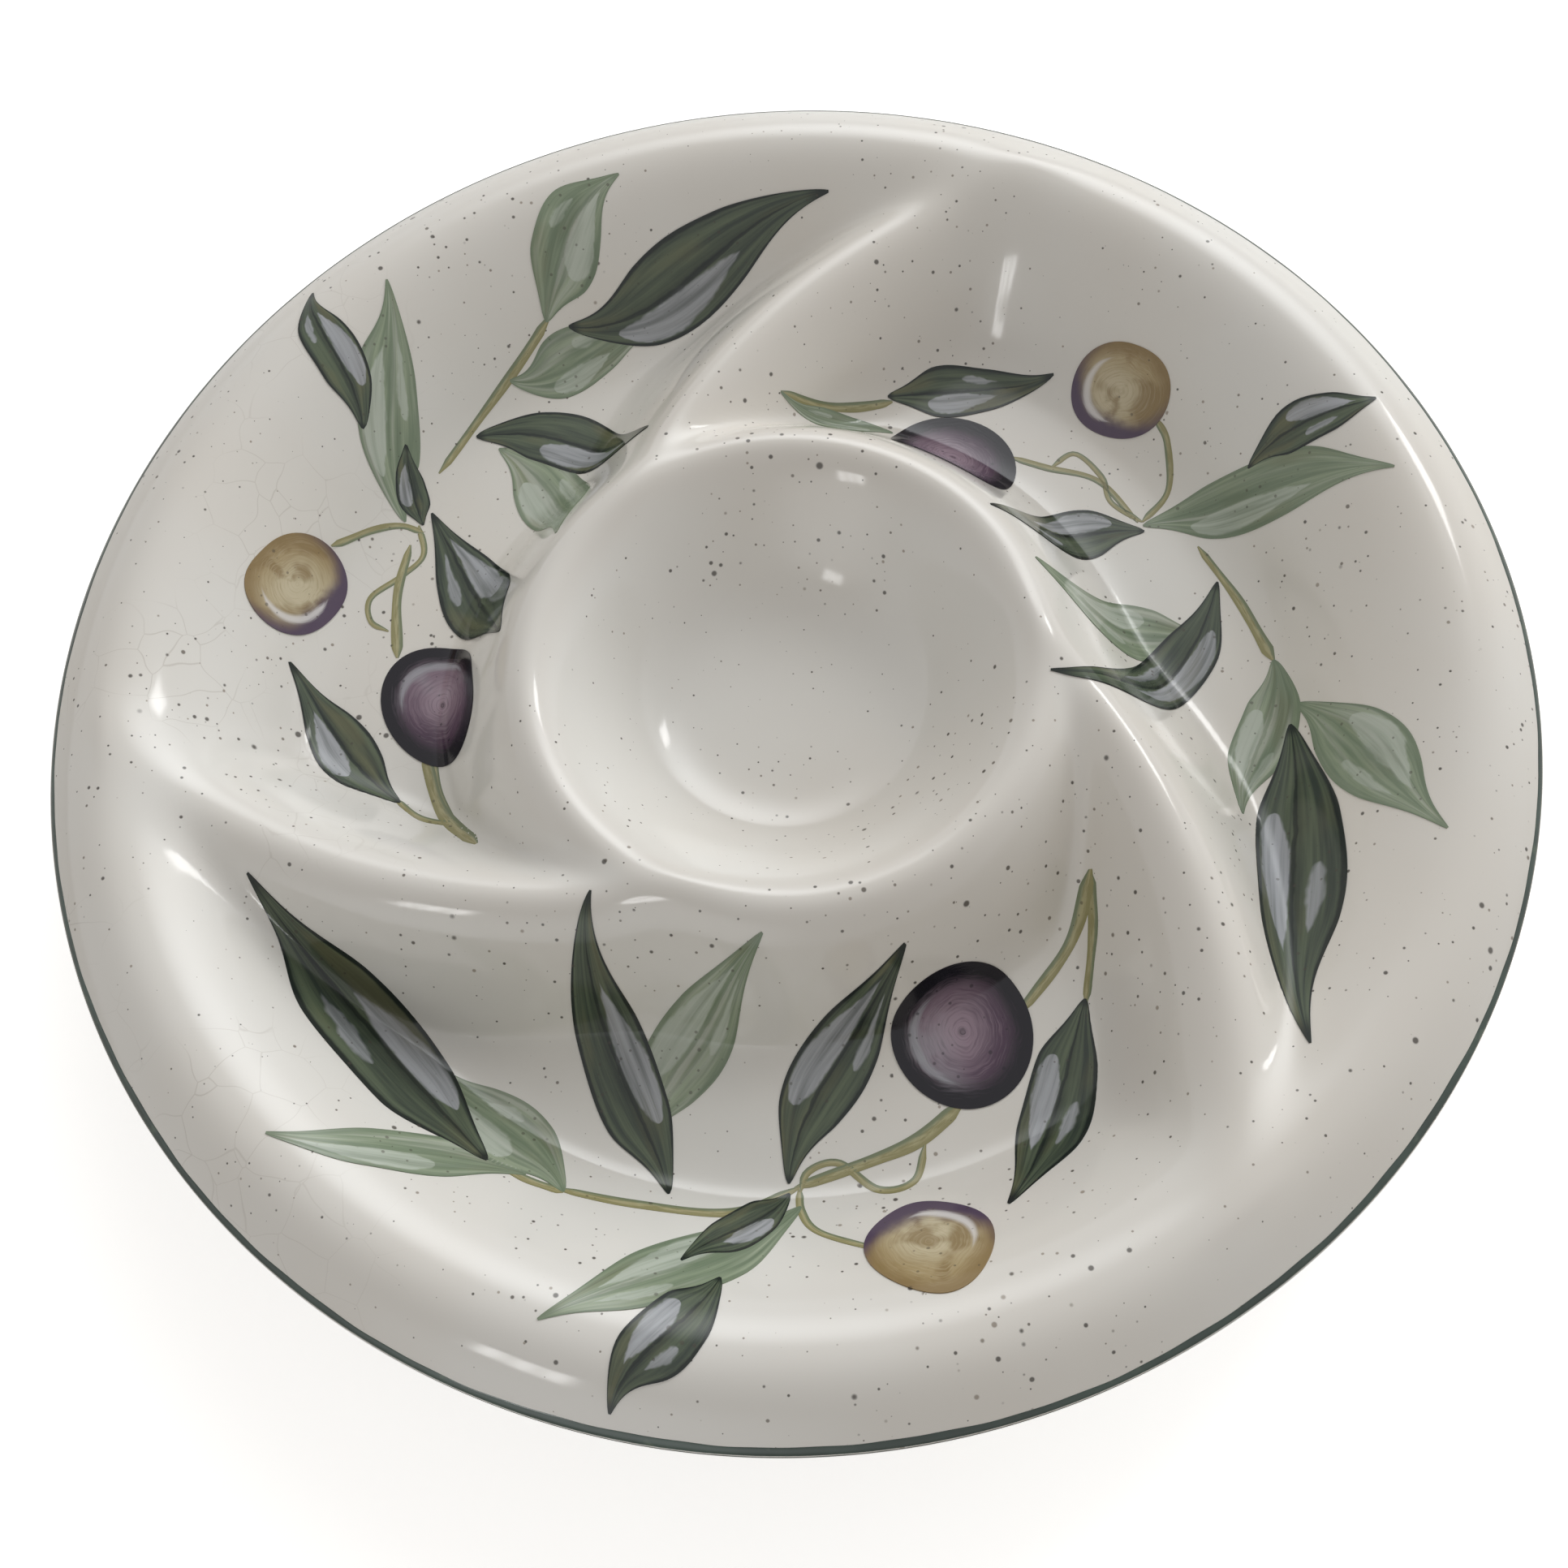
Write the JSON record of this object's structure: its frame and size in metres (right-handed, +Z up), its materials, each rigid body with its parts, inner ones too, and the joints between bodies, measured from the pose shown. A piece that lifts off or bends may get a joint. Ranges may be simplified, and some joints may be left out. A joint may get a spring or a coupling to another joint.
{
  "type": "divided olive dish",
  "caption": "Round glazed stoneware olive dish: swirled dividers part its compartments round a central dip bowl, inside a broad rolled rim with a painted edge.",
  "frame": {"origin": "middle of the foot ring, on the surface that the dish stands on", "axes": "+Z up; +X to the right and +Y away from the viewer in the picture's view"},
  "size_m": [0.3, 0.3, 0.0428],
  "materials": {
    "stoneware": "matt",
    "face_glaze": "gloss",
    "back_glaze": "gloss",
    "edge_paint": "gloss",
    "bare_foot": "matt"
  },
  "bodies": {
    "root": {"dish_body": "stoneware", "face_glaze": "face_glaze", "back_glaze": "back_glaze", "rim_line": "edge_paint", "foot_ring": "bare_foot"}
  },
  "joints": []
}
